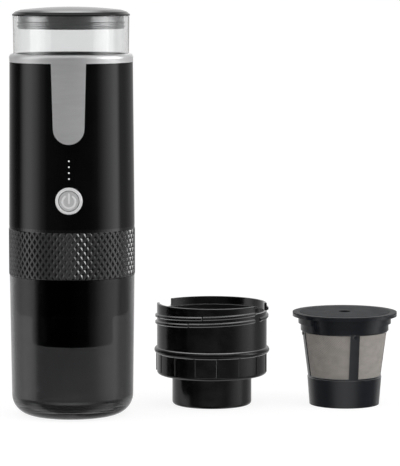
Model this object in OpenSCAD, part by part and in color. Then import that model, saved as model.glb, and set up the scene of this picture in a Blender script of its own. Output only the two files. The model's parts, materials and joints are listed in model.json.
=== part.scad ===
// Portable espresso maker standing in its cup, with a spare pod holder and a refillable basket beside it.
// Front is -Y, up is +Z, and the cup stands on z = 0 round the Z axis. Sizes are in millimetres.

/* [Pod and basket] */
// Flange diameter of the basket, as on a common single-serve pod. It sets every diameter of the machine
pod_flange_d = 52.5; // [50:0.5:56]
// Thickness of the basket's flange
flange_t = 2; // [1.6:0.1:3]
// Height of the basket
basket_h = 46.8; // [43:0.2:52]
// Outer diameter of the basket at its base
basket_base_d = 35.2; // [32:0.2:38]
// Height of the closed band at the foot of the basket
basket_band_h = 14; // [10:0.5:18]
// Width of the posts between the mesh windows
basket_post_w = 4.8; // [3:0.1:7]
// Wall of the basket
basket_wall = 1.3; // [1:0.1:2]
// Thickness of the mesh
mesh_t = 0.4; // [0.3:0.05:0.6]

/* [Pod holder] */
// Height of the pod holder from spout to rim
holder_h = 51.3; // [48:0.1:56]
// Wall of the pod holder
holder_wall = 1.3; // [1:0.1:1.8]
// Outer diameter of the spout
spout_d = 40; // [36:0.2:42]
// Height of the spout below the ribbed skirt
spout_h = 15.4; // [12:0.1:18]
// Height of the ribbed skirt
skirt_h = 10.7; // [8:0.1:12]
// Height of the bead above the skirt
bead_t = 3.2; // [2:0.1:4]
// Number of ribs round the skirt
rib_count = 15; // [8:1:24]
// Depth of the finger notches in the rim
notch_depth = 3.8; // [3:0.1:4.6]
// Height of the screw thread's ridge above the wall
thread_h = 0.9; // [0.6:0.05:1.1]
// Rise of the two-start thread in one turn
thread_lead = 6.8; // [6:0.1:8]

/* [Cup] */
// Height of the cup
cup_h = 69.3; // [60:0.1:80]
// Wall of the cup
cup_wall = 1.4; // [1:0.1:2]
// Thickness of the cup's floor
cup_floor = 3; // [2:0.1:5]
// How much the cup's radius falls from rim to base
cup_taper = 0.9; // [0:0.1:2]
// Outer radius of the rounded edge round the cup's base
cup_corner_r = 10; // [6:0.5:12]

/* [Grip ring] */
// Height of the grip ring's top above the brew plate
ring_over = 2.8; // [2.2:0.05:4]
// Diamonds round the ring
knurl_count = 60; // [40:2:72]
// Rows of diamonds
knurl_rows = 5; // [3:1:6]
// Depth of the diamonds
knurl_depth = 0.6; // [0.3:0.05:0.75]
// Share of a diamond's width that its pit takes, with flat ridges round it
pit_share_w = 0.65; // [0.4:0.05:0.9]
// Share of a diamond's height that its pit takes
pit_share_h = 0.8; // [0.4:0.05:0.9]

/* [Casing] */
// Height of the black casing
shell_h = 79.8; // [77:0.2:90]
// Wall of the casing
shell_wall = 2; // [1.6:0.1:2.4]
// How much the casing's radius falls from foot to collar
shell_taper = 0.65; // [0.3:0.05:1]
// Height of the silver collar
collar_h = 4.2; // [3:0.1:6]
// Width of the silver tongue at the collar
tongue_w_top = 17; // [14:0.2:20]
// Width of the tongue where its round end starts
tongue_w_end = 15.2; // [12:0.2:16]
// Length of the tongue below the collar
tongue_len = 38.7; // [30:0.1:40]
// How far the tongue stands out of the casing
tongue_proud = 0.4; // [0.2:0.05:0.6]

/* [Controls] */
// Outer diameter of the ring round the button
bezel_d = 13.1; // [12:0.1:15]
// Diameter of the push button
button_d = 9.6; // [8:0.1:10.4]
// Height of the button's centre above the casing's foot
button_rise = 14; // [11:0.1:17]
// How far the button travels
button_travel = 0.8; // [0.4:0.1:1]
// Number of level lights
led_count = 4; // [2:1:5]
// Distance between the level lights
led_pitch = 2.85; // [2.6:0.05:3.4]
// Diameter of a level light
led_d = 0.95; // [0.8:0.05:1.6]
// Drop of the top lamp below the roof of the engine bay
led_inset = 2.2; // [1.3:0.05:2.5]

/* [Tank and lid] */
// Height of the clear tank above the collar
tank_show = 18.15; // [15:0.05:24]
// Wall of the tank
tank_wall = 1.6; // [1.2:0.1:2]
// Depth of the lid's plug below its rim
plug_h = 6.35; // [5:0.05:9]
// Height of the lid above its rim's underside
lid_h = 4.25; // [3.6:0.05:5]

/* [Inside] */
// Diameter of a battery cell
cell_d = 16.5; // [14:0.1:17]
// Length of a battery cell
cell_h = 34.5; // [30:0.5:35]
// Diameter of the motor's can
motor_d = 24; // [20:0.2:24.4]
// Height of the pump head
pump_h = 13; // [11:0.5:15]
// Height of the space for the pump, motor and cells
bay_h = 36.5; // [36:0.5:38]

/* [Hidden] */
$fn = 96;

// Clearances
fit_gap = 0.15;
seam = 0.25;
thread_gap = 0.3;
cup_fit = 0.3;
seal_gap = 0.25;
touch_gap = 0.05;
bore_gap = 0.06;
over = 1;

// Radii, worked outwards from the pod's flange
pod_r = pod_flange_d / 2;
holder_bore_r = pod_r + fit_gap;
holder_r = holder_bore_r + holder_wall;
thread_r = holder_r + thread_h;
bead_r = thread_r + 0.45;
sleeve_in_r = thread_r + thread_gap;
sleeve_r = sleeve_in_r + 1;
grip_in_r = sleeve_r + touch_gap;
grip_r = grip_in_r + 1.05;
shell_r = grip_r - 0.15;
shell_top_r = shell_r - shell_taper;
spigot_r = shell_r - shell_wall - touch_gap;
collar_r = shell_top_r + 0.15;
tank_r = shell_top_r - 2;
tank_low_r = shell_top_r - shell_wall - 0.7;
tank_top_r = tank_r + 0.3;
lid_r = tank_top_r + 0.3;
cup_in_r = bead_r + cup_fit;
cup_r = cup_in_r + cup_wall;
spout_r = spout_d / 2;
spout_in_r = spout_r - holder_wall;

// Heights, worked upwards from the table
skirt_z = spout_h;
bead_z = skirt_z + skirt_h;
bead_top = bead_z + bead_t;
ledge_z = holder_h - notch_depth - 0.1;
holder_floor = 1.2;
thread_drop = 9.7;
drain_at = 9;
bead_drop = 5.2;
ring_z = cup_h + seam;
holder_z = ring_z - bead_drop - bead_top;
rim_z = holder_z + holder_h;
gasket_t = 1.5;
plate_z = rim_z + seam + gasket_t;
plate_t = 3;
plate_top = plate_z + plate_t;
ring_top = plate_top + ring_over;
grip_h = ring_top - ring_z;
spigot_top = ring_top + 3;
shell_z = ring_top + touch_gap;
shell_top = shell_z + shell_h;
frame_t = 1.8;
bay_z = plate_top + frame_t;
bay_top = bay_z + bay_h;
tank_seal_t = 1;
tank_z = bay_top + frame_t + tank_seal_t;
collar_top = shell_top + collar_h;
tank_top = collar_top + tank_show;
lid_z = tank_top + seam;
button_z = shell_z + button_rise;
led_z = bay_top - led_inset - (led_count - 1) * led_pitch;

// Plan of the engine bay
motor_at = [0, 9];
cell_at = [17, -7];
hose_at = [-14, 15];
post_at = [[0, -14], [21, 10], [-21, 10]];
screw_at = [[0, 23.5], [23.2, 3.5], [-23.2, 3.5]];
pump_r = motor_d / 2 - 0.5;
hose_r = 2.4;
tank_seal_r = 10;
tank_seal_w = 3;
shaft_r = 1;
screw_r = 1.1;
needle_r = 1.6;
needle_neck_r = 2.5;
outlet_r = 2;
spigot_wall = 1.6;
socket_z = bay_z + 8;
board_y = -21.5;

// Places of the pieces that stand beside the machine
spare_at = [69, 30, 0];
basket_at = [136, 30, 0];

// Radius of the casing's outside at height z
function shell_at(z) = shell_r - shell_taper * (z - shell_z) / shell_h;

// Points of an arc round c from angle a0 to a1
function arc(c, r, a0, a1, n = 8) =
    [for (i = [0 : n]) c + r * [cos(a0 + (a1 - a0) * i / n), sin(a0 + (a1 - a0) * i / n)]];

// A ring with square edges
module ring(r_out, r_in, h) {
    difference() {
        cylinder(r = r_out, h = h);
        translate([0, 0, -over]) cylinder(r = r_in, h = h + 2 * over);
    }
}

// A turned piece with its profile given as points of radius and height
module turned(points) {
    rotate_extrude() polygon(points);
}

// A cylinder that points to the front, from y = back to y = front
module to_front(r, front, back, r_front = 0) {
    translate([0, back, 0])
        rotate([90, 0, 0])
            cylinder(r1 = r, r2 = r_front > 0 ? r_front : r, h = back - front);
}

module cup() {
    tilt = atan(cup_taper / cup_h);
    foot_r = cup_r - cup_taper;
    out_c = [foot_r + cup_corner_r * tan(tilt) - cup_corner_r / cos(tilt), cup_corner_r];
    in_corner = cup_corner_r - cup_floor;
    in_c = [foot_r - cup_wall - in_corner, cup_floor + in_corner];
    color([0.2, 0.2, 0.22, 0.6])
        turned(concat(
            [[0, 0]],
            arc(out_c, cup_corner_r, -90, -tilt, 12),
            [[cup_r, cup_h], [cup_in_r, cup_h]],
            arc(in_c, in_corner, 0, -90, 10),
            [[0, cup_floor]]));
}

// Ring with crossed flat ridges below a plain band. The ridges cross at the even points of a lattice,
// and each odd point is the floor of a pit. The lowest and highest pits are cut in half
module grip_ring() {
    lip_low = 0.45;
    lip_high = 0.35;
    band_h = 1.5;
    band_r = grip_r - 0.2;
    cols = 2 * knurl_count;
    levels = 2 * knurl_rows;
    net_h = grip_h - lip_low - lip_high - band_h;
    step = net_h / levels;
    in_r = grip_in_r / cos(180 / cols);
    // Corners of a diamond: left, bottom, right and top
    corners = [[-1, 0], [0, -1], [1, 0], [0, 1]];
    pits = [for (j = [0 : levels], k = [0 : knurl_count - 1]) [2 * k + (j + 1) % 2, j]];
    function at(r, i, z) = [r * cos(360 * i / cols), r * sin(360 * i / cols), z];
    function level_z(j) = lip_low + step * max(0, min(levels, j));
    net = 2;
    band = net + levels + 1;
    mouths = (band + 3) * cols;
    points = [
        for (i = [0 : cols - 1]) at(in_r, i, 0),
        for (i = [0 : cols - 1]) at(band_r, i, 0),
        for (j = [0 : levels], i = [0 : cols - 1])
            at(grip_r - (i + j) % 2 * knurl_depth, i, level_z(j)),
        for (z = [grip_h - band_h, grip_h], i = [0 : cols - 1]) at(band_r, i, z),
        for (i = [0 : cols - 1]) at(in_r, i, grip_h),
        for (p = pits, c = corners)
            at(grip_r, p[0] + pit_share_w * c[0], level_z(p[1] + pit_share_h * c[1]))];
    function id(k, i) = k * cols + (i + cols) % cols;
    function halves(k, m, i) = [
        [id(k, i), id(m, i), id(m, i + 1)],
        [id(k, i), id(m, i + 1), id(k, i + 1)]];
    // One side of a diamond: the flat ridge along the pit's mouth, and the slope down to its floor
    function corner_id(p, c) = id(net + p[1] + corners[c][1], p[0] + corners[c][0]);
    function side(p, mouth, c, d) = [
        [corner_id(p, c), mouth + c, corner_id(p, d)],
        [corner_id(p, d), mouth + c, mouth + d],
        [mouth + c, id(net + p[1], p[0]), mouth + d]];
    function sides(p) = p[1] == 0 ? [2, 3] : p[1] == levels ? [0, 1] : [0, 1, 2, 3];
    // Wall between row k of the net, where the pits are cut, and the plain row m beyond it
    function wall(k, m, i, mouth) = [
        [id(m, i - 1), id(k, i - 1), mouth],
        [id(m, i - 1), mouth, id(m, i)],
        [id(m, i), mouth, id(k, i)],
        [id(m, i), id(k, i), mouth + 2],
        [id(m, i), mouth + 2, id(m, i + 1)],
        [id(m, i + 1), mouth + 2, id(k, i + 1)]];
    function turned_over(list) = [for (f = list) [f[0], f[2], f[1]]];
    faces = [
        for (b = [[0, 1], [band, band + 1], [band + 1, band + 2], [band + 2, 0]], i = [0 : cols - 1])
            each halves(b[0], b[1], i),
        for (n = [0 : len(pits) - 1], c = sides(pits[n]))
            each side(pits[n], mouths + 4 * n, c, (c + 1) % 4),
        for (k = [0 : knurl_count - 1])
            each wall(net, 1, pits[k][0], mouths + 4 * k),
        for (n = [levels * knurl_count : len(pits) - 1])
            each turned_over(wall(band - 1, band, pits[n][0], mouths + 4 * n))];
    color([0.07, 0.07, 0.08])
        translate([0, 0, ring_z])
            polyhedron(points, faces);
}

// Plate that the water comes through, with the sleeve that the holder screws into
module brew_head() {
    lug_z = rim_z - thread_drop + thread_lead / 2 + 0.2;
    spigot_in_r = spigot_r - spigot_wall;
    color([0.12, 0.12, 0.13])
        union() {
            difference() {
                turned([
                    [sleeve_in_r, ring_z], [sleeve_r, ring_z], [sleeve_r, ring_top], [spigot_r, ring_top],
                    [spigot_r, spigot_top], [spigot_in_r, spigot_top], [spigot_in_r, plate_top],
                    [0, plate_top], [0, plate_z], [sleeve_in_r, plate_z]]);
                translate([0, 0, plate_z - over])
                    cylinder(r = needle_neck_r + touch_gap, h = plate_t + 2 * over);
                for (p = screw_at)
                    translate([p[0], p[1], plate_z + 1]) cylinder(r = screw_r + touch_gap, h = plate_t);
            }
            for (side = [0, 180])
                rotate([0, 0, side + 90])
                    translate([0, 0, lug_z])
                        thread_lug();
        }
}

// Short ridge inside the sleeve that the holder's thread rides on
module thread_lug() {
    lug_arc = 24;
    lug_h = 0.8;
    lug_reach = holder_r + 0.25;
    rotate([atan(thread_lead / (2 * PI * thread_r)), 0, 0])
        rotate([0, 0, -lug_arc / 2])
            rotate_extrude(angle = lug_arc)
                translate([lug_reach, -lug_h / 2]) square([sleeve_in_r - lug_reach + 0.4, lug_h]);
}

// Needle that pierces the pod from above: a pointed tube with a head and a cross hole
module brew_needle() {
    reach = 10.5;
    point_h = 3.5;
    head_r = 4.5;
    head_t = 1;
    taper_z = plate_z - reach + point_h;
    color([0.75, 0.75, 0.77])
        difference() {
            turned([
                [0, plate_z - reach], [0.5, plate_z - reach], [needle_r, taper_z], [needle_r, plate_z],
                [needle_neck_r, plate_z], [needle_neck_r, plate_top], [head_r, plate_top],
                [head_r, plate_top + head_t], [0, plate_top + head_t]]);
            translate([0, 0, taper_z]) cylinder(r = needle_r / 2, h = reach + plate_t + over);
            translate([-needle_r - over, 0, taper_z + 1])
                rotate([0, 90, 0])
                    cylinder(r = 0.5, h = 2 * (needle_r + over));
        }
}

module brew_gasket() {
    color([0.55, 0.55, 0.56])
        translate([0, 0, plate_z - gasket_t])
            ring(holder_bore_r + 0.5, holder_bore_r - 4.4, gasket_t);
}

// Two plates on three posts that hold the cells, pump and motor
module inner_frame() {
    plate_r = spigot_r - spigot_wall - 0.2;
    color([0.2, 0.2, 0.21])
        difference() {
            union() {
                translate([0, 0, plate_top]) cylinder(r = plate_r, h = frame_t);
                translate([0, 0, bay_top]) cylinder(r = plate_r, h = frame_t);
                for (p = post_at)
                    translate([p[0], p[1], bay_z - 0.5]) cylinder(r = 2, h = bay_h + 1);
            }
            translate([0, 0, plate_top - over]) cylinder(r = 5, h = frame_t + 2 * over);
            for (p = screw_at)
                translate([p[0], p[1], plate_top - over])
                    cylinder(r = screw_r + touch_gap, h = frame_t + 2 * over);
            translate([hose_at[0], hose_at[1], bay_top - over])
                cylinder(r = hose_r + 0.2, h = frame_t + 2 * over);
        }
}

module frame_screws() {
    tip_z = plate_z + 1.2;
    head_r = 2 * screw_r;
    head_top = bay_z + 1.6;
    color([0.7, 0.7, 0.72])
        for (p = screw_at)
            translate([p[0], p[1], 0])
                turned([
                    [0, tip_z], [screw_r, tip_z], [screw_r, bay_z],
                    [head_r, bay_z], [head_r, head_top], [0, head_top]]);
}

// Place along the line from the hose to the pump's axis
hose_run = motor_at - hose_at;
hose_turn = atan2(hose_run[1], hose_run[0]);
hose_gap = norm(hose_run) - pump_r;
elbow_r = 3.2;
inlet_z = bay_z + 6.5;

module pump_head() {
    wall = 2.5;
    color([0.85, 0.85, 0.83])
        translate([motor_at[0], motor_at[1], bay_z])
            difference() {
                union() {
                    cylinder(r = pump_r, h = pump_h);
                    translate([-motor_at[0], -motor_at[1], -frame_t + 1]) cylinder(r = 2, h = frame_t);
                }
                translate([0, 0, wall]) cylinder(r = pump_r - wall, h = pump_h - 2 * wall);
                translate([0, 0, pump_h - wall - over])
                    cylinder(r = shaft_r + bore_gap, h = wall + 2 * over);
                translate([-motor_at[0], -motor_at[1], -frame_t])
                    cylinder(r = 0.8, h = frame_t + wall + over);
                translate([0, 0, inlet_z - bay_z])
                    rotate([0, 0, hose_turn + 180])
                        rotate([0, 90, 0])
                            cylinder(r = 1.3, h = pump_r + over);
            }
}

module motor() {
    can_h = bay_h - pump_h;
    color([0.75, 0.75, 0.76])
        translate([motor_at[0], motor_at[1], bay_z + pump_h])
            difference() {
                cylinder(r = motor_d / 2, h = can_h);
                translate([0, 0, -over]) cylinder(r = shaft_r + bore_gap, h = can_h);
            }
}

module motor_shaft() {
    color([0.8, 0.8, 0.82])
        translate([motor_at[0], motor_at[1], bay_z + 3])
            cylinder(r = shaft_r, h = bay_h - 8);
}

module eccentric_wheel() {
    wheel_h = pump_h - 6.5;
    offset_x = 1.6;
    color([0.9, 0.88, 0.8])
        translate([motor_at[0], motor_at[1], bay_z + 3.2])
            difference() {
                translate([offset_x, 0, 0]) cylinder(r = pump_r - 2.5 - offset_x - 0.6, h = wheel_h);
                translate([0, 0, -over]) cylinder(r = shaft_r, h = wheel_h + 2 * over);
            }
}

module battery_cells() {
    lift = (bay_h - cell_h) / 2;
    color([0.2, 0.35, 0.55])
        for (side = [-1, 1])
            translate([side * cell_at[0], cell_at[1], bay_z]) {
                translate([0, 0, lift]) cylinder(r = cell_d / 2, h = cell_h);
                cylinder(r = 3, h = lift + 0.5);
                translate([0, 0, lift + cell_h - 0.5]) cylinder(r = 3, h = lift + 0.5);
            }
}

module control_board() {
    board_w = 24;
    board_t = 1.6;
    color([0.1, 0.35, 0.2])
        translate([-board_w / 2, board_y, bay_z])
            cube([board_w, board_t, bay_h]);
}

module tact_switch() {
    side = 6;
    depth = 2.6;
    color([0.15, 0.15, 0.16])
        translate([0, 0, button_z])
            union() {
                translate([-side / 2, board_y - depth, -side / 2]) cube([side, depth, side]);
                to_front(1.7, board_y - depth - 0.7, board_y - depth + 0.5);
            }
}

// Outline with round ends, drawn from its width and height
function slot_points(w, h) = concat(
    arc([w / 2 - h / 2, 0], h / 2, -90, 90, 8),
    arc([-w / 2 + h / 2, 0], h / 2, 90, 270, 8));

// Oval slot that runs from y = front to y = back
module slot(w, h, front, back) {
    translate([0, back, 0])
        rotate([90, 0, 0])
            linear_extrude(back - front) polygon(slot_points(w, h));
}

socket_w = 9;
socket_h = 3.2;
socket_front = 23;

module charge_socket() {
    depth = shell_at(socket_z) - socket_front - 0.3;
    color([0.7, 0.7, 0.72])
        translate([0, 0, socket_z])
            union() {
                difference() {
                    slot(socket_w, socket_h, socket_front, socket_front + depth);
                    slot(socket_w - 0.8, socket_h - 0.8, socket_front + 1, socket_front + depth + over);
                }
                translate([-3.3, socket_front + 0.5, -0.35]) cube([6.6, depth - 1.2, 0.7]);
            }
}

// Light pipe: a rod for each light on one web
module led_lenses() {
    web_t = 3.4;
    web_over = 1.15;
    web_y = board_y - web_t;
    color([0.97, 0.98, 1])
        union() {
            for (k = [0 : led_count - 1])
                translate([0, 0, led_z + k * led_pitch])
                    to_front(led_d / 2, -shell_at(led_z + k * led_pitch) - 0.08, web_y + 0.5);
            translate([-2, web_y, led_z - web_over])
                cube([4, web_t, (led_count - 1) * led_pitch + 2 * web_over]);
        }
}

bezel_r = bezel_d / 2;
button_r = button_d / 2;
button_gap = 0.3;
button_front = -shell_at(button_z) - 0.35;

module button_bezel() {
    bevel = 0.5;
    depth = 4;
    color([0.8, 0.8, 0.81])
        translate([0, 0, button_z])
            difference() {
                union() {
                    to_front(bezel_r, button_front + bevel, button_front + depth);
                    to_front(bezel_r, button_front, button_front + bevel, bezel_r - bevel);
                }
                to_front(button_r + button_gap, button_front - over, button_front + depth + over);
            }
}

module power_button() {
    cap_t = 2;
    stem_r = 2;
    stem_end = board_y - 2.6 - 0.7 - button_travel - 0.2;
    color([0.7, 0.7, 0.72])
        translate([0, 0, button_z])
            union() {
                to_front(button_r, button_front + 0.15, button_front + 0.15 + cap_t);
                to_front(stem_r, button_front + 1, stem_end);
            }
}

module body_shell() {
    shell_in_r = shell_r - shell_wall;
    shell_in_top = shell_top_r - shell_wall;
    color([0.03, 0.03, 0.03])
        difference() {
            turned([
                [shell_in_r, shell_z], [shell_r, shell_z],
                [shell_top_r, shell_top], [shell_in_top, shell_top]]);
            translate([0, 0, button_z]) to_front(bezel_r + touch_gap, -shell_r - over, -shell_in_r + 4);
            for (k = [0 : led_count - 1])
                translate([0, 0, led_z + k * led_pitch])
                    to_front(led_d / 2 + touch_gap, -shell_r - over, -shell_in_r + 3);
            translate([0, 0, socket_z])
                slot(socket_w + 0.2, socket_h + 0.2, shell_in_r - 3, shell_r + over);
        }
}

// Silver collar, and the tongue that follows the casing's slope down the front
module collar_trim() {
    edge = 2;
    end_r = tongue_w_end / 2;
    straight = tongue_len - end_r;
    lap = collar_h / 2;
    low = shell_top - tongue_len - over;
    color([0.78, 0.78, 0.8])
        union() {
            turned(concat(
                [[tank_r + touch_gap, shell_top], [shell_top_r, shell_top]],
                arc([collar_r - edge, collar_top - edge], edge, 0, 90, 8),
                [[tank_r + touch_gap, collar_top]]));
            intersection() {
                turned([
                    [shell_at(low), low],
                    [shell_at(low) + tongue_proud, low],
                    [shell_top_r + tongue_proud, shell_top + lap],
                    [shell_top_r - 0.4, shell_top + lap],
                    [shell_top_r - 0.4, shell_top],
                    [shell_top_r, shell_top]]);
                translate([0, -shell_r / 2, shell_top])
                    rotate([90, 0, 0])
                        linear_extrude(shell_r)
                            polygon(concat(
                                [[tongue_w_top / 2, lap + over], [-tongue_w_top / 2, lap + over]],
                                arc([0, -straight], end_r, 180, 360, 16)));
            }
        }
}

module water_tank() {
    shoulder = shell_top - 2;
    floor_t = 2;
    corner = 3;
    in_top_r = tank_top_r - tank_wall;
    in_low_r = tank_low_r - tank_wall;
    color([0.9, 0.92, 0.93, 0.4])
        difference() {
            turned(concat(
                [[0, tank_z]],
                arc([tank_low_r - corner, tank_z + corner], corner, -90, 0, 5),
                [[tank_low_r, shoulder], [tank_r, shoulder], [tank_r, collar_top], [tank_top_r, tank_top],
                    [in_top_r, tank_top], [tank_r - tank_wall, shoulder], [in_low_r, shoulder - 1]],
                arc([in_low_r - corner + 1, tank_z + floor_t + corner - 1], corner - 1, 0, -90, 5),
                [[0, tank_z + floor_t]]));
            translate([hose_at[0], hose_at[1], tank_z - over])
                cylinder(r = hose_r, h = floor_t + 2 * over);
        }
}

module tank_seal() {
    color([0.3, 0.3, 0.31])
        translate([0, 0, tank_z - tank_seal_t])
            ring(tank_seal_r, tank_seal_r - tank_seal_w, tank_seal_t);
}

module inlet_strainer() {
    color([0.75, 0.75, 0.76])
        translate([hose_at[0], hose_at[1], tank_z + 2])
            difference() {
                cylinder(r = 3, h = 2.5);
                translate([0, 0, -over]) cylinder(r = 1.4, h = 2 + over);
                for (turn = [0, 60, 120])
                    rotate([0, 0, turn]) translate([-5, -0.4, 0.6]) cube([10, 0.8, 1]);
            }
}

// Hose path of radius r from the tank's floor, down and round to the pump's side
module hose_path(r, extra) {
    drop_z = inlet_z + elbow_r;
    translate([hose_at[0], hose_at[1], 0])
        rotate([0, 0, hose_turn]) {
            translate([0, 0, drop_z]) cylinder(r = r, h = tank_z + 2 - drop_z + extra);
            translate([elbow_r, 0, drop_z])
                rotate([90, 0, 0])
                    rotate([0, 0, 180])
                        rotate_extrude(angle = 90) translate([elbow_r, 0]) circle(r = r);
            translate([elbow_r, 0, inlet_z])
                rotate([0, 90, 0])
                    cylinder(r = r, h = hose_gap - elbow_r + extra);
        }
}

module intake_hose() {
    color([0.85, 0.85, 0.85])
        difference() {
            hose_path(hose_r - 0.1, 0);
            hose_path(1.3, over);
        }
}

// Lid's plug, with two grooves for its seals
plug_r = tank_top_r - tank_wall - 1.1;
plug_z = lid_z - plug_h;
groove_r = plug_r - 1;
groove_h = 1.3;
groove_low = plug_z + 0.5;
groove_high = groove_low + groove_h + 0.5;

module lid_cap() {
    lip = 0.65;
    shoulder_r = lid_r - 1.5;
    dome_r = lid_r - 4.1;
    dome_h = 1.5;
    crown_r = (dome_r * dome_r + dome_h * dome_h) / (2 * dome_h);
    dome_edge = acos(dome_r / crown_r);
    plug_in_r = plug_r - 2.6;
    color([0.05, 0.05, 0.05])
        turned(concat(
            [[0, lid_z - 1], [plug_in_r, lid_z - 1], [plug_in_r, plug_z], [plug_r, plug_z],
                [plug_r, groove_low], [groove_r, groove_low], [groove_r, groove_low + groove_h],
                [plug_r, groove_low + groove_h], [plug_r, groove_high], [groove_r, groove_high],
                [groove_r, groove_high + groove_h], [plug_r, groove_high + groove_h],
                [plug_r, lid_z], [lid_r, lid_z], [lid_r, lid_z + lip],
                [shoulder_r, lid_z + lid_h - 2.35]],
            arc([0, lid_z + lid_h - crown_r], crown_r, dome_edge, 90, 10)));
}

module lid_seals() {
    seal_r = plug_r + 0.8 - seal_gap;
    color([0.45, 0.45, 0.46])
        for (z = [groove_low, groove_high])
            translate([0, 0, z])
                turned([
                    [groove_r, 0], [plug_r, 0], [seal_r, groove_h * 0.35], [seal_r, groove_h * 0.65],
                    [plug_r, groove_h], [groove_r, groove_h]]);
}

// One start of the thread: a ridge in short stretches, each tilted to the thread's slope.
// Each stretch is given by the turn at which it begins and the turn at which it ends
module thread_ridge(stretches) {
    gap = 1.2;
    slope = atan(thread_lead / (2 * PI * thread_r));
    foot = holder_r - 0.5;
    low = holder_h - thread_drop;
    for (t = stretches)
        rotate([0, 0, (t[0] + t[1]) / 2])
            translate([0, 0, low + thread_lead * (t[0] + t[1]) / 720])
                rotate([slope, 0, 0])
                    rotate([0, 0, (t[0] - t[1] + gap) / 2])
                        rotate_extrude(angle = t[1] - t[0] - gap)
                            polygon([[foot, -1.25], [thread_r, -0.5], [thread_r, 0.5], [foot, 1.25]]);
}

// Holder with a double wall at the skirt, a two-start thread, a bead, ribs and two finger notches
module holder_body() {
    cavity_r = holder_bore_r - 2.7;
    cavity_low = holder_h - notch_depth - 8;
    cone_top_r = cavity_r - 1;
    cone_top = cavity_low - 1;
    roof_z = bead_z - 1;
    roof_r = spout_r + (cone_top_r - spout_in_r) * (roof_z - spout_h) / (cone_top - spout_h);
    skirt_in_r = holder_r - holder_wall;
    edge = 1.4;
    rib_w = 1;
    rib_out = 0.45;
    rib_in = 0.6;
    rib_turn = 11.4;
    notches = [[139, 39], [-39, 36]];
    first_start = [[20, 80], [80, 140], [140, 200], [200, 260], [260, 320], [358, 386]];
    second_start = [[-8, 65], [65, 140], [148, 206], [206, 264], [264, 318]];
    union() {
        difference() {
            turned(concat(
                [[outlet_r, 0]],
                arc([spout_r - edge, edge], edge, -90, 0, 4),
                [[spout_r, spout_h], [roof_r, roof_z], [skirt_in_r, roof_z], [skirt_in_r, skirt_z + 0.6]],
                [[skirt_in_r + 0.3, skirt_z], [holder_r - edge + 0.4, skirt_z]],
                arc([holder_r - edge, skirt_z + edge], edge, -60, 0, 4),
                [[holder_r, bead_z]],
                arc([bead_r - bead_t / 2, bead_z + bead_t / 2], bead_t / 2, -75, 75, 8),
                [[holder_r, bead_top], [holder_r, holder_h - 0.3], [holder_r - 0.3, holder_h],
                    [holder_bore_r, holder_h], [holder_bore_r, ledge_z], [cavity_r, ledge_z],
                    [cavity_r, cavity_low], [cone_top_r, cone_top], [spout_in_r, spout_h],
                    [spout_in_r, holder_floor], [outlet_r, holder_floor]]));
            for (n = notches)
                rotate([0, 0, n[0]])
                    rotate_extrude(angle = n[1])
                        translate([holder_bore_r - over, holder_h - notch_depth])
                            square([holder_wall + 2 * over, notch_depth + over]);
            for (turn = [0 : 60 : 300])
                rotate([0, 0, turn])
                    translate([drain_at, 0, -over])
                        cylinder(r = 1.5, h = holder_floor + 2 * over);
        }
        for (k = [0 : rib_count - 1])
            rotate([0, 0, 360 * k / rib_count + rib_turn])
                translate([holder_r - rib_in, -rib_w / 2, skirt_z + edge + 0.3])
                    cube([rib_in + rib_out, rib_w, skirt_h - edge + 0.5]);
        thread_ridge(first_start);
        rotate([0, 0, 180]) thread_ridge(second_start);
    }
}

// Hollow outlet needle in the middle of the holder's floor
module outlet_needle() {
    foot_r = outlet_r - touch_gap;
    seat_r = 3.4;
    seat_z = holder_floor + 0.1;
    seat_t = 1;
    taper_z = holder_floor + 6;
    tip_z = holder_floor + 8.5;
    difference() {
        turned([
            [0, 0], [foot_r, 0], [foot_r, seat_z], [seat_r, seat_z], [seat_r, seat_z + seat_t],
            [needle_r, seat_z + 1.5 * seat_t], [needle_r, taper_z], [0.3, tip_z], [0, tip_z]]);
        translate([0, 0, -over]) cylinder(r = 0.9, h = taper_z - 1 + over);
        translate([-needle_r - over, 0, taper_z - 2])
            rotate([0, 90, 0])
                cylinder(r = 0.5, h = 2 * (needle_r + over));
    }
}

module pod_holder() {
    color([0.06, 0.06, 0.06]) translate([0, 0, holder_z]) holder_body();
}

module holder_needle() {
    color([0.75, 0.75, 0.77]) translate([0, 0, holder_z]) outlet_needle();
}

module spare_holder() {
    color([0.06, 0.06, 0.06]) translate(spare_at) holder_body();
}

module spare_needle() {
    color([0.75, 0.75, 0.77]) translate(spare_at) outlet_needle();
}

// Basket profile, worked down from the flange
flange_z = basket_h - flange_t;
step_h = 3.6;
step_r = pod_r - 2.9;
neck_r = step_r - 1.2;
window_top = flange_z - 2 * step_h;
body_top_r = neck_r - 0.6;
band_r = basket_base_d / 2 + 1.1;
body_foot_r = band_r - 0.3;
basket_floor = 7;
post_turn = -78.5;
lid_seat_r = pod_r - 3.4;
lid_t = 1.2;

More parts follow.
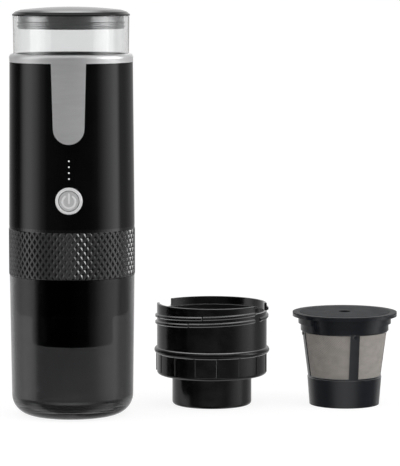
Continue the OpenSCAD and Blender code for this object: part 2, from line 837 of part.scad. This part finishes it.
module basket_frame() {
    mouth_r = step_r - 1.6;
    stud_r = 0.9;
    stud_out = 0.35;
    color([0.06, 0.07, 0.1])
        translate(basket_at)
            union() {
                difference() {
                    turned([
                        [0, basket_floor - basket_wall], [band_r - 2.6, basket_floor - basket_wall],
                        [basket_base_d / 2 - basket_wall, 0], [basket_base_d / 2, 0],
                        [band_r, basket_band_h], [body_foot_r, basket_band_h],
                        [body_top_r, window_top], [neck_r, window_top],
                        [neck_r, window_top + step_h], [step_r, window_top + step_h], [step_r, flange_z],
                        [pod_r, flange_z], [pod_r, basket_h], [lid_seat_r, basket_h],
                        [lid_seat_r, basket_h - lid_t], [mouth_r, basket_h - lid_t],
                        [mouth_r, window_top + step_h], [body_top_r - basket_wall, window_top],
                        [body_foot_r - basket_wall, basket_band_h], [band_r - 2.6, basket_floor],
                        [0, basket_floor]]);
                    windows(3);
                }
                for (k = [0 : 3])
                    rotate([0, 0, post_turn + 90 * k])
                        translate([body_top_r - basket_wall, 0, window_top - stud_r - 0.3])
                            rotate([0, 90, 0]) cylinder(r = stud_r, h = basket_wall + stud_out);
            }
}

// Four windows of the given thickness: a cone cut by four posts of one width
module windows(t) {
    difference() {
        rotate_extrude() window_profile(t);
        for (k = [0 : 3])
            rotate([0, 0, post_turn + 90 * k])
                translate([0, -basket_post_w / 2, 0])
                    cube([pod_r, basket_post_w, basket_h]);
    }
}

// Section of the window's cone: a band of the given thickness about the middle of the wall
module window_profile(t) {
    low = basket_band_h + 0.8;
    high = window_top - 0.6;
    slope = (body_top_r - body_foot_r) / (window_top - basket_band_h);
    low_r = body_foot_r + slope * (low - basket_band_h) - basket_wall / 2;
    high_r = body_foot_r + slope * (high - basket_band_h) - basket_wall / 2;
    polygon([[low_r - t / 2, low], [low_r + t / 2, low], [high_r + t / 2, high], [high_r - t / 2, high]]);
}

module basket_mesh() {
    color([0.6, 0.57, 0.54])
        translate(basket_at)
            windows(mesh_t);
}

module basket_lid() {
    hole_r = 3;
    color([0.25, 0.27, 0.28])
        translate(basket_at + [0, 0, basket_h - lid_t + 0.1])
            ring(lid_seat_r - 0.2, hole_r, lid_t);
}

cup();
grip_ring();
brew_head();
brew_needle();
brew_gasket();
inner_frame();
frame_screws();
pump_head();
motor();
motor_shaft();
eccentric_wheel();
battery_cells();
control_board();
tact_switch();
charge_socket();
led_lenses();
button_bezel();
power_button();
body_shell();
collar_trim();
water_tank();
tank_seal();
inlet_strainer();
intake_hose();
lid_cap();
lid_seals();
pod_holder();
holder_needle();
spare_holder();
spare_needle();
basket_frame();
basket_mesh();
basket_lid();
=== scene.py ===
import json
import math

import bmesh
import bpy
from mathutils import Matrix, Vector


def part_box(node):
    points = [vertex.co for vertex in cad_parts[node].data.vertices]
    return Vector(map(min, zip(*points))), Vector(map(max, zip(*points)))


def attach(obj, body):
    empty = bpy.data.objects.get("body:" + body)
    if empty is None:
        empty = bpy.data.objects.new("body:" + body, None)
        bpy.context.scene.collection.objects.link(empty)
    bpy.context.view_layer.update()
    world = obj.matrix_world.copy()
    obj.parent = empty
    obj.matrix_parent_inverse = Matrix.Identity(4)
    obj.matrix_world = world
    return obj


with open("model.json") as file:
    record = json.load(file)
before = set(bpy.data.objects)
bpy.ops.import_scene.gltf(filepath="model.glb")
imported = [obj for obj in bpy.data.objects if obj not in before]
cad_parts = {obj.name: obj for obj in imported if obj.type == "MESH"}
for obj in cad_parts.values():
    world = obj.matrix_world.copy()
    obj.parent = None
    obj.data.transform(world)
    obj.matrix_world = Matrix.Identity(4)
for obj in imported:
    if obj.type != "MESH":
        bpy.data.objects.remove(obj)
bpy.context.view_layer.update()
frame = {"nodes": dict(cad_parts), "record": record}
nodes = frame["nodes"]
scene = bpy.context.scene
MM = 0.001


# Node helpers

def node(tree, kind, **values):
    made = tree.nodes.new(kind)
    for name, value in values.items():
        setattr(made, name, value)
    return made


def plug(tree, socket, value):
    """Set a number on a socket, or link another node's output to it."""
    if isinstance(value, (int, float)):
        socket.default_value = value
    else:
        tree.links.new(value, socket)


def math_node(tree, operation, *values):
    made = node(tree, "ShaderNodeMath", operation=operation)
    for socket, value in zip(made.inputs, values):
        plug(tree, socket, value)
    return made.outputs[0]


def add(tree, a, b):
    return math_node(tree, "ADD", a, b)


def less(tree, a, b):
    return math_node(tree, "SUBTRACT", a, b)


def times(tree, a, b):
    return math_node(tree, "MULTIPLY", a, b)


def larger(tree, a, b):
    return math_node(tree, "MAXIMUM", a, b)


def fade(tree, fac, a, b):
    """a where fac is 0, b where it is 1."""
    return add(tree, times(tree, a, less(tree, 1.0, fac)), times(tree, b, fac))


def ramp(tree, value, start, end, low=0.0, high=1.0):
    """low up to start, high from end on, and an even slope between them."""
    made = node(tree, "ShaderNodeMapRange")
    for socket, number in (("From Min", start), ("From Max", end), ("To Min", low), ("To Max", high)):
        made.inputs[socket].default_value = number
    tree.links.new(value, made.inputs["Value"])
    return made.outputs[0]


def split(tree, vector):
    parts = node(tree, "ShaderNodeSeparateXYZ")
    tree.links.new(vector, parts.inputs[0])
    return parts.outputs[0], parts.outputs[1], parts.outputs[2]


def object_xyz(tree):
    return split(tree, node(tree, "ShaderNodeTexCoord").outputs["Object"])


def distance(tree, x, y, centre=(0.0, 0.0)):
    """How far the point (x, y) lies from centre."""
    x = less(tree, x, centre[0])
    y = less(tree, y, centre[1])
    return math_node(tree, "SQRT", add(tree, times(tree, x, x), times(tree, y, y)))


def noise(tree, scale, stretch=(1, 1, 1), detail=4.0):
    place = node(tree, "ShaderNodeMapping")
    place.inputs["Scale"].default_value = stretch
    tree.links.new(node(tree, "ShaderNodeTexCoord").outputs["Object"], place.inputs["Vector"])
    tex = node(tree, "ShaderNodeTexNoise")
    tex.inputs["Scale"].default_value = scale
    tex.inputs["Detail"].default_value = detail
    tex.inputs["Roughness"].default_value = 0.55
    tree.links.new(place.outputs[0], tex.inputs["Vector"])
    return tex.outputs["Fac"]


def mottle(tree, cloud, low=0.0, high=1.0):
    """Spread a noise, whose values crowd round the middle, from low to high."""
    return ramp(tree, cloud, 0.3, 0.7, low, high)


def blend_colour(tree, fac, a, b):
    made = node(tree, "ShaderNodeMix", data_type="RGBA")
    colour_a, colour_b = made.inputs[6], made.inputs[7]
    colour_a.default_value = (*a, 1)
    colour_b.default_value = (*b, 1)
    tree.links.new(fac, made.inputs[0])
    return made.outputs[2]


# Material helpers. Every material made here is kept in mats by its name

mats = {}


def new_material(name):
    mat = bpy.data.materials.new(name)
    mat.use_nodes = True
    tree = mat.node_tree
    tree.nodes.clear()
    out = node(tree, "ShaderNodeOutputMaterial")
    bsdf = node(tree, "ShaderNodeBsdfPrincipled")
    tree.links.new(bsdf.outputs[0], out.inputs["Surface"])
    mats[name] = mat
    return tree, bsdf


def shade(tree, bsdf, **sockets):
    """Fill the shader's sockets. An underscore in a name stands for a space."""
    for name, value in sockets.items():
        plug(tree, bsdf.inputs[name.replace("_", " ")], value)


def bump(tree, bsdf, height, depth, strength=1.0):
    made = node(tree, "ShaderNodeBump")
    made.inputs["Distance"].default_value = depth
    made.inputs["Strength"].default_value = strength
    tree.links.new(height, made.inputs["Height"])
    tree.links.new(made.outputs[0], bsdf.inputs["Normal"])


def add_grain(tree, bsdf, depth, stretch=(1, 1, 1)):
    """The fine grain that moulding or brushing leaves."""
    grain_scale = 2600
    bump(tree, bsdf, noise(tree, grain_scale, stretch, detail=2.0), depth)


def finish(name, colour, rough, vary, rough_vary, scale, grain, stretch=(1, 1, 1), **sockets):
    """A moulded or metal surface: mottled colour, uneven gloss and a fine grain."""
    tree, bsdf = new_material(name)
    cloud = noise(tree, scale, stretch)
    low = [c * (1 - vary) for c in colour]
    high = [c * (1 + vary) for c in colour]
    shade(tree, bsdf, Base_Color=blend_colour(tree, mottle(tree, cloud), low, high),
          Roughness=mottle(tree, cloud, rough - rough_vary, rough + rough_vary), **sockets)
    add_grain(tree, bsdf, grain, stretch)


def two_zone(name, split_z, below, above, grain):
    """One finish below split_z and another above it, each as colour, roughness and metallic."""
    tree, bsdf = new_material(name)
    soft = 0.1 * MM
    up = ramp(tree, object_xyz(tree)[2], split_z - soft, split_z + soft)
    shade(tree, bsdf, Base_Color=blend_colour(tree, up, below[0], above[0]),
          Roughness=ramp(tree, up, 0.0, 1.0, below[1], above[1]))
    if below[2] != above[2]:
        shade(tree, bsdf, Metallic=ramp(tree, up, 0.0, 1.0, below[2], above[2]))
    add_grain(tree, bsdf, grain)


def net_material(name, box):
    """The grip ring: satin ridges, pits painted darker as shade, and a plain band on top that looks like
    the casing.
    """
    tree, bsdf = new_material(name)
    low, high = box
    ridge_r = (high.x - low.x) / 2
    pit_shade_depth = 0.35 * MM
    ridge_edge = 0.02 * MM
    band_z = high.z - 1.65 * MM
    soft = 0.1 * MM
    x, y, z = object_xyz(tree)
    # Painted shade: the colour darkens from the ridge surface down into each pit; the band on top keeps its
    # own dark colour
    ridges = ramp(tree, distance(tree, x, y, (low + high) / 2), ridge_r - pit_shade_depth, ridge_r - ridge_edge)
    below = ramp(tree, z, band_z - soft, band_z + soft, 1.0, 0.0)
    raised = times(tree, ridges, below)
    shade(tree, bsdf, Base_Color=blend_colour(tree, raised, (0.006, 0.006, 0.0065), (0.032, 0.032, 0.033)),
          Roughness=ramp(tree, below, 0.0, 1.0, 0.1, 0.24), IOR=1.65)
    add_grain(tree, bsdf, 0.004 * MM)


def holder_material(name, box):
    """A pod holder: gloss black outside, dull black inside the bowl."""
    tree, bsdf = new_material(name)
    low, high = box
    bore_r = 26.3 * MM
    bowl_z = high.z - 18 * MM
    soft = 0.1 * MM
    x, y, z = object_xyz(tree)
    within = ramp(tree, distance(tree, x, y, (low + high) / 2), bore_r - soft, bore_r + soft, 1.0, 0.0)
    bowl = times(tree, within, ramp(tree, z, bowl_z, bowl_z + 2 * soft))
    cloud = noise(tree, 160)
    colour = blend_colour(tree, mottle(tree, cloud), (0.0022, 0.0022, 0.0024), (0.0038, 0.0038, 0.004))
    shade(tree, bsdf, Base_Color=colour, Roughness=larger(tree, mottle(tree, cloud, 0.14, 0.2), bowl))
    add_grain(tree, bsdf, 0.004 * MM)


def lamp_material(name, first, pitch, core):
    """White lamps in an upright row: each is bright within core of its middle, in a dark lens."""
    tree, bsdf = new_material(name)
    x, _, z = object_xyz(tree)
    turns = add(tree, math_node(tree, "DIVIDE", less(tree, z, first.z), pitch), 0.5)
    rise = times(tree, less(tree, math_node(tree, "FRACT", turns), 0.5), pitch)
    away = distance(tree, x, rise, (first.x, 0.0))
    lit = ramp(tree, away, core * 0.8, core * 1.2, 1.0, 0.0)
    shade(tree, bsdf, Base_Color=blend_colour(tree, lit, (0.006, 0.006, 0.006), (0.86, 0.88, 0.9)),
          Emission_Color=blend_colour(tree, lit, (0, 0, 0), (1, 1, 1)),
          Emission_Strength=0.4, Roughness=0.2)
    add_grain(tree, bsdf, 0.002 * MM)


def weave_material(name, centre, wire_r, pitch):
    """Woven wire round an upright axis: two sets of round wires, pitch apart at the radius wire_r."""
    tree, bsdf = new_material(name)
    x, y, z = object_xyz(tree)
    turn = math_node(tree, "ARCTAN2", less(tree, y, centre.y), less(tree, x, centre.x))
    along = times(tree, turn, wire_r / pitch)
    up = math_node(tree, "DIVIDE", z, pitch)

    def wire(across, run, shift):
        """The height of one set, whose wires pass over and under the other set's."""
        round_top = math_node(tree, "ABSOLUTE", math_node(tree, "SINE", times(tree, across, math.pi)))
        phase = add(tree, add(tree, run, math_node(tree, "FLOOR", across)), shift)
        over = math_node(tree, "COSINE", times(tree, phase, math.pi))
        return times(tree, round_top, add(tree, times(tree, over, 0.3), 0.7))

    height = larger(tree, wire(along, up, 0.0), wire(up, along, 1.0))
    uneven = mottle(tree, noise(tree, 230, (1, 1, 1.6), detail=3.0), 0.72, 1.08)
    # Painted shade: darker where the wires dip under one another and in the gaps between them, times a
    # random uneven tone
    bright = times(tree, ramp(tree, height, 0.25, 0.9), uneven)
    shade(tree, bsdf, Base_Color=blend_colour(tree, bright, (0.18, 0.166, 0.152), (0.7, 0.648, 0.6)),
          Roughness=mottle(tree, noise(tree, 300), 0.5, 0.65), Metallic=0.1)
    bump(tree, bsdf, height, 0.06 * MM, strength=0.6)


# Plain finishes: colour, then roughness, with how much each varies, the size of the mottle and the grain

finish("black_gloss", (0.0028, 0.0028, 0.003), rough=0.09, vary=0.2, rough_vary=0.025,
       scale=60, grain=0.002 * MM, IOR=1.5)
finish("black_satin", (0.003, 0.003, 0.0032), rough=0.17, vary=0.25, rough_vary=0.03,
       scale=160, grain=0.004 * MM, IOR=1.5)
finish("silver", (0.88, 0.88, 0.885), rough=0.46, vary=0.03, rough_vary=0.04,
       scale=90, grain=0.003 * MM, stretch=(1, 1, 8), Metallic=0.8)
finish("bright_silver", (0.96, 0.96, 0.965), rough=0.5, vary=0.02, rough_vary=0.04,
       scale=140, grain=0.003 * MM)
finish("button_silver", (0.7, 0.7, 0.705), rough=0.5, vary=0.03, rough_vary=0.04,
       scale=140, grain=0.003 * MM, Metallic=0.2)
finish("mark_silver", (0.95, 0.95, 0.955), rough=0.4, vary=0.02, rough_vary=0.04,
       scale=140, grain=0.003 * MM)
finish("steel", (0.62, 0.6, 0.58), rough=0.28, vary=0.08, rough_vary=0.06,
       scale=260, grain=0.004 * MM, stretch=(1, 1, 10), Metallic=1.0)
finish("motor_can", (0.6, 0.6, 0.61), rough=0.3, vary=0.07, rough_vary=0.07,
       scale=240, grain=0.004 * MM, stretch=(1, 1, 9), Metallic=1.0)
finish("silicone", (0.3, 0.3, 0.31), rough=0.5, vary=0.08, rough_vary=0.05,
       scale=200, grain=0.01 * MM)
finish("seal_grey", (0.5, 0.5, 0.505), rough=0.32, vary=0.05, rough_vary=0.04,
       scale=200, grain=0.004 * MM, Metallic=0.5)
finish("inner_plastic", (0.2, 0.2, 0.21), rough=0.45, vary=0.1, rough_vary=0.06,
       scale=180, grain=0.01 * MM)
finish("cell_wrap", (0.03, 0.1, 0.3), rough=0.25, vary=0.15, rough_vary=0.05,
       scale=90, grain=0.005 * MM)
finish("board_green", (0.01, 0.1, 0.03), rough=0.35, vary=0.2, rough_vary=0.05,
       scale=500, grain=0.01 * MM)
finish("basket_grey", (0.01, 0.012, 0.0145), rough=0.6, vary=0.15, rough_vary=0.05,
       scale=160, grain=0.008 * MM, Specular_IOR_Level=0.1)
finish("clear", (0.88, 0.885, 0.885), rough=0.02, vary=0.01, rough_vary=0.012,
       scale=40, grain=0.001 * MM, IOR=1.49, Transmission_Weight=1.0)
finish("smoked_clear", (0.165, 0.165, 0.168), rough=0.03, vary=0.04, rough_vary=0.012,
       scale=40, grain=0.001 * MM, IOR=1.49, Transmission_Weight=1.0)


# Finishes that follow a piece's shape

net_material("grip_black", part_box("grip_ring"))
holder_material("pod_holder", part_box("pod_holder"))
holder_material("spare_holder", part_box("spare_holder"))
# The basket's frame is satin, with a matt top
basket_low, basket_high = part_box("basket_frame")
two_zone("basket_black", basket_high.z - 0.5 * MM, ((0.009, 0.0105, 0.0145), 0.22, 0.0),
         ((0.009, 0.0105, 0.0135), 0.65, 0.0), 0.006 * MM)
weave_material("woven_steel", (basket_low + basket_high) / 2, 19.5 * MM, 0.42 * MM)
# The lid is gloss black, and its plug in the tank is grey
plug_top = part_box("water_tank")[1].z + 0.25 * MM
two_zone("lid_black", plug_top, ((0.5, 0.5, 0.505), 0.3, 0.5),
         ((0.006, 0.006, 0.0065), 0.08, 0.0), 0.002 * MM)
# The lowest lamp's middle, slightly right of the machine's axis
lamp_at = Vector((0.08 * MM, 0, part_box("led_lenses")[0].z + 1.15 * MM))
lamp_material("lamp_white", lamp_at, 2.85 * MM, 0.37 * MM)

slot_of = {s["node"]: s["material_slot"] for s in frame["record"]["subparts"]}
own_material = {"basket_mesh": "woven_steel", "button_bezel": "bright_silver",
                "power_button": "button_silver", "lid_cap": "lid_black", "lid_seals": "seal_grey",
                "pod_holder": "pod_holder", "spare_holder": "spare_holder"}
for name, obj in nodes.items():
    obj.data.materials.clear()
    obj.data.materials.append(mats[own_material.get(name, slot_of[name])])
    if name.startswith(("spare_", "basket_")):
        # The photograph shows the loose pieces apart from the machine, which doesn't mirror them
        obj.visible_glossy = False
        obj.visible_transmission = False


# Mesh helpers

def add_mesh(name, verts, faces, material, body):
    mesh = bpy.data.meshes.new(name)
    mesh.from_pydata(verts, [], faces)
    bm = bmesh.new()
    bm.from_mesh(mesh)
    bmesh.ops.recalc_face_normals(bm, faces=bm.faces)
    bm.to_mesh(mesh)
    bm.free()
    for p in mesh.polygons:
        p.use_smooth = True
    mesh.set_sharp_from_angle(angle=math.radians(60))
    mesh.materials.append(material)
    obj = bpy.data.objects.new(name, mesh)
    scene.collection.objects.link(obj)
    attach(obj, body)


def ridge(path, width, height, face_y, rings=7, caps=6):
    """A raised stroke on an upright face: a closed rounded strip along path, with round ends.

    path holds points as (x, z). The flat back lies just inside the face.
    """
    sunk = 0.02 * MM
    half = (rings - 1) // 2
    last = len(path) - 1
    verts, faces = [], []

    def heading(i):
        ahead = Vector(path[min(i + 1, last)]) - Vector(path[max(i - 1, 0)])
        ahead.normalize()
        return ahead, Vector((-ahead.y, ahead.x))

    def add_point(i, outward, turn):
        off = outward * (math.cos(turn) * width / 2)
        y = face_y + sunk - height * math.sin(turn)
        verts.append((path[i][0] + off.x, y, path[i][1] + off.y))

    for i in range(last + 1):
        side = heading(i)[1]
        for k in range(rings):
            add_point(i, side, math.pi * k / (rings - 1))
    for i in range(last):
        a, b = i * rings, (i + 1) * rings
        for k in range(rings - 1):
            faces.append((a + k, a + k + 1, b + k + 1, b + k))
        faces.append((a, b, b + rings - 1, a + rings - 1))
    for i, way in ((0, -1), (last, 1)):
        ahead, side = heading(i)
        first = i * rings
        columns = [range(first, first + half)]
        for j in range(1, caps):
            turn = math.pi * j / caps
            outward = side * math.cos(turn) + ahead * (math.sin(turn) * way)
            columns.append(range(len(verts), len(verts) + half))
            for k in range(half):
                add_point(i, outward, math.pi * k / (rings - 1))
        columns.append(range(first + rings - 1, first + half, -1))
        for a, b in zip(columns, columns[1:]):
            for k in range(half - 1):
                faces.append((a[k], b[k], b[k + 1], a[k + 1]))
            faces.append((a[half - 1], b[half - 1], first + half))
        faces.append([column[0] for column in columns])
    return verts, faces


# The power mark on the button: a broken ring and a bar, raised from the face

button_low, button_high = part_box("power_button")
face_y = button_low.y
mark_x = (button_low.x + button_high.x) / 2
mark_z = (button_low.z + button_high.z) / 2 - 0.3 * MM
ring_r, stroke, raised = 3.1 * MM, 1.0 * MM, 0.16 * MM
ring_gap = math.radians(36)
ring_steps = 56
bar_low, bar_high = -0.65 * MM, 3.65 * MM
bar_steps = 8
arc = []
for i in range(ring_steps + 1):
    turn = ring_gap + 2 * (math.pi - ring_gap) * i / ring_steps
    arc.append((mark_x + ring_r * math.sin(turn), mark_z + ring_r * math.cos(turn)))
bar = [(mark_x, mark_z + bar_low + (bar_high - bar_low) * i / bar_steps) for i in range(bar_steps + 1)]
verts, faces = ridge(arc, stroke, raised, face_y)
bar_verts, bar_faces = ridge(bar, stroke, raised, face_y)
faces += [[i + len(verts) for i in face] for face in bar_faces]
verts += bar_verts
add_mesh("power_mark", verts, faces, mats["mark_silver"], "button")


# Camera, with its focal length in pixels of the photograph, which is 466 pixels tall

focal_px, photo_px, sensor_mm = 2750, 466, 36
camera = bpy.data.objects.new("camera", bpy.data.cameras.new("camera"))
scene.collection.objects.link(camera)
scene.camera = camera
camera.location = (0.063, -1.347, 0.224)
camera.rotation_euler = (math.radians(90 - 5.7), 0, 0)
camera.data.sensor_width = sensor_mm
camera.data.lens = focal_px / photo_px * sensor_mm
camera.data.clip_start = 0.05
camera.data.clip_end = 60


# The studio as shiny surfaces see it: a soft box at each side, dark in front, pale behind

# Degrees round from the camera's side, where 90 is at the right, and the brightness there
STUDIO = [(-180, 0.55), (-150, 0.34), (-136, 0.18), (-122, 0.05), (-110, 0.03), (-104, 0.3),
          (-96, 1.1), (-88, 1.6), (-78, 1.7), (-66, 1.1), (-56, 0.4), (-44, 0.06), (0, 0.005),
          (38, 0.02), (50, 0.08), (58, 0.36), (73, 1.15), (88, 1.85), (95, 1.85), (104, 0.38),
          (120, 0.28), (150, 0.4), (180, 0.55)]
# The same for the floor close by, which the low pieces mirror
STUDIO_NEAR = [(-180, 0.9), (-150, 0.8), (-128, 0.7), (-110, 0.75), (-96, 1.1), (-84, 1.2),
               (-74, 0.95), (-68, 0.35), (-62, 0.03), (-44, 0.005), (0, 0.005), (30, 0.03),
               (44, 0.2), (58, 0.6), (72, 0.95), (90, 1.1), (102, 0.5), (120, 0.35), (150, 0.5),
               (180, 0.9)]
# The same for the floor right in front of a piece, which faces that lean down mirror
STUDIO_LOW = [(-180, 1.0), (-130, 0.8), (-108, 0.2), (-90, 0.03), (-62, 0.12), (-45, 0.45),
              (-25, 1.2), (0, 1.5), (25, 1.2), (45, 0.45), (62, 0.12), (90, 0.03), (108, 0.2),
              (130, 0.8), (180, 1.0)]


def ray_kinds(tree):
    """Whether a ray is mirrored, comes straight from the eye or through glass, and is mirrored in glass."""
    path = node(tree, "ShaderNodeLightPath").outputs
    mirrored = math_node(tree, "GREATER_THAN", path["Glossy Depth"], 0.5)
    bounces = add(tree, path["Glossy Depth"], path["Diffuse Depth"])
    straight = math_node(tree, "LESS_THAN", bounces, 0.5)
    eye = larger(tree, path["Is Camera Ray"], path["Is Transmission Ray"])
    passed = math_node(tree, "GREATER_THAN", path["Transmission Depth"], 0.5)
    return mirrored, times(tree, eye, straight), times(tree, mirrored, passed)


def studio_light(tree, x, y, levels):
    """Brightness in the direction (x, y) seen from the machine."""
    turn = math_node(tree, "ARCTAN2", x, times(tree, y, -1.0))
    made = node(tree, "ShaderNodeValToRGB")
    stops = made.color_ramp.elements
    for k, (degrees, value) in enumerate(levels):
        at = (degrees + 180) / 360
        stop = stops[k] if k < 2 else stops.new(at)
        stop.position = at
        stop.color = (value, value, value, 1)
    tree.links.new(add(tree, math_node(tree, "DIVIDE", turn, 2 * math.pi), 0.5), made.inputs["Fac"])
    return made.outputs["Color"]


# Floor: white to the eye, with a faint shadow

FLOOR_COLOUR = (0.82, 0.82, 0.82, 1)
FLOOR_GLOW = 1.25
GLOW_SHARE = 0.7
FLOOR_CORNERS = [(-6, -6, 0), (6, -6, 0), (6, 16, 0), (-6, 16, 0)]
floor_mesh = bpy.data.meshes.new("floor")
floor_mesh.from_pydata(FLOOR_CORNERS, [], [(0, 1, 2, 3)])
floor = bpy.data.objects.new("floor", floor_mesh)
floor.location = (0, 0, -0.05 * MM)
scene.collection.objects.link(floor)
mat = bpy.data.materials.new("floor_white")
mat.use_nodes = True
tree = mat.node_tree
tree.nodes.clear()
mirrored, seen, in_glass = ray_kinds(tree)
x, y, _ = split(tree, node(tree, "ShaderNodeNewGeometry").outputs["Position"])
away = distance(tree, x, y)
# Painted shadow: the floor glows less under the cup's middle, where the cup shades it
plain = times(tree, seen, ramp(tree, away, 18 * MM, 21 * MM, 0.45, FLOOR_GLOW))
far = studio_light(tree, x, y, STUDIO)
near = studio_light(tree, x, y, STUDIO_NEAR)
shine = times(tree, mirrored, fade(tree, ramp(tree, away, 0.3, 0.7, 1.0, 0.0), far, near))
behind = times(tree, in_glass, ramp(tree, y, 0.1, 0.4, 0.0, 0.9))
beside = times(tree, in_glass, ramp(tree, away, 0.05, 0.08, 0.6, 0.0))
diffuse = node(tree, "ShaderNodeBsdfDiffuse")
diffuse.inputs["Color"].default_value = FLOOR_COLOUR
glow = node(tree, "ShaderNodeEmission")
level = larger(tree, larger(tree, plain, shine), larger(tree, behind, beside))
tree.links.new(level, glow.inputs["Strength"])
lit = node(tree, "ShaderNodeMixShader")
tree.links.new(add(tree, times(tree, seen, GLOW_SHARE), mirrored), lit.inputs[0])
tree.links.new(diffuse.outputs[0], lit.inputs[1])
tree.links.new(glow.outputs[0], lit.inputs[2])
# A ray that an outer surface has mirrored goes on to the studio below
clear = node(tree, "ShaderNodeBsdfTransparent")
through = node(tree, "ShaderNodeMixShader")
tree.links.new(less(tree, mirrored, in_glass), through.inputs[0])
tree.links.new(lit.outputs[0], through.inputs[1])
tree.links.new(clear.outputs[0], through.inputs[2])
tree.links.new(through.outputs[0], node(tree, "ShaderNodeOutputMaterial").inputs["Surface"])
floor_mesh.materials.append(mat)


# World: white to the eye and through glass, the studio in reflections, light from above for the rest

MIRROR_LEVEL = 0.8
KEY_LAMP_WAY = (0.940, -0.099, 0.326)
KEY_LAMP_LEVEL = 14.0
world = bpy.data.worlds.new("studio")
scene.world = world
world.use_nodes = True
# What the world shows depends on the kind of ray, so it isn't sampled as a lamp
world.cycles.sampling_method = "NONE"
tree = world.node_tree
tree.nodes.clear()
mirrored, seen, in_glass = ray_kinds(tree)
ray_way = node(tree, "ShaderNodeTexCoord").outputs["Generated"]
x, y, z = split(tree, ray_way)
# All round: the far studio, the floor close by below it, and the floor in front of a piece lowest
far = studio_light(tree, x, y, STUDIO)
near = studio_light(tree, x, y, STUDIO_NEAR)
low = studio_light(tree, x, y, STUDIO_LOW)
studio = fade(tree, ramp(tree, z, -0.118, -0.112, 1.0, 0.0), far, near)
lowest = times(tree, ramp(tree, z, -0.22, -0.175, 1.0, 0.0), ramp(tree, z, -0.46, -0.4))
studio = fade(tree, lowest, studio, low)
# A pale ceiling, and a pale backdrop that stands on the floor
ceiling = ramp(tree, z, 0.5, 0.9, 0.0, 0.8)
backdrop = times(tree, ramp(tree, y, 0.5, 0.9, 0.0, 0.95), ramp(tree, z, -0.03, 0.04))
studio = larger(tree, studio, larger(tree, ceiling, backdrop))
# A panel high at the back, which the lid's front edge mirrors
panel = times(tree, ramp(tree, y, 0.35, 0.5), ramp(tree, z, 0.45, 0.65, 0.0, 4.5))
panel = times(tree, panel, ramp(tree, math_node(tree, "ABSOLUTE", x), 0.15, 0.4, 1.0, 0.0))
studio = larger(tree, studio, panel)
# A small key lamp at the right, which makes the glints on the grip ring
toward = node(tree, "ShaderNodeVectorMath", operation="DOT_PRODUCT")
tree.links.new(ray_way, toward.inputs[0])
toward.inputs[1].default_value = KEY_LAMP_WAY
outer, inner = math.cos(math.radians(13)), math.cos(math.radians(8))
studio = larger(tree, studio, ramp(tree, toward.outputs["Value"], outer, inner, 0.0, KEY_LAMP_LEVEL))
shine = times(tree, studio, times(tree, mirrored, MIRROR_LEVEL))
# Matt surfaces get most of their light from above
even = times(tree, less(tree, 1.0, mirrored), ramp(tree, z, 0.0, 0.9, 0.12, 0.7))
behind = times(tree, in_glass, ramp(tree, y, 0.3, 0.7, 0.0, 0.72))
level = larger(tree, larger(tree, shine, seen), larger(tree, even, behind))
back = node(tree, "ShaderNodeBackground")
back.inputs["Color"].default_value = (1, 1, 1, 1)
tree.links.new(level, back.inputs["Strength"])
tree.links.new(back.outputs[0], node(tree, "ShaderNodeOutputWorld").inputs["Surface"])


# Soft boxes at both sides, whose mirror image the studio above already holds

def soft_box(name, azimuth, radiance):
    distance_m, width, height, middle_z = 0.9, 0.6, 1.1, 0.5
    data = bpy.data.lights.new(name, "AREA")
    data.shape = "RECTANGLE"
    data.size = width
    data.size_y = height
    data.energy = radiance * math.pi * width * height
    obj = bpy.data.objects.new(name, data)
    turn = math.radians(azimuth)
    obj.location = (math.sin(turn) * distance_m, -math.cos(turn) * distance_m, middle_z)
    aim = Vector((0.02, 0.0, middle_z)) - obj.location
    obj.rotation_mode = "QUATERNION"
    obj.rotation_quaternion = aim.to_track_quat("-Z", "Y")
    obj.visible_glossy = False
    scene.collection.objects.link(obj)


soft_box("box_left", -70, 1.2)
soft_box("box_right", 66, 1.5)


# View settings

scene.view_settings.view_transform = "Standard"
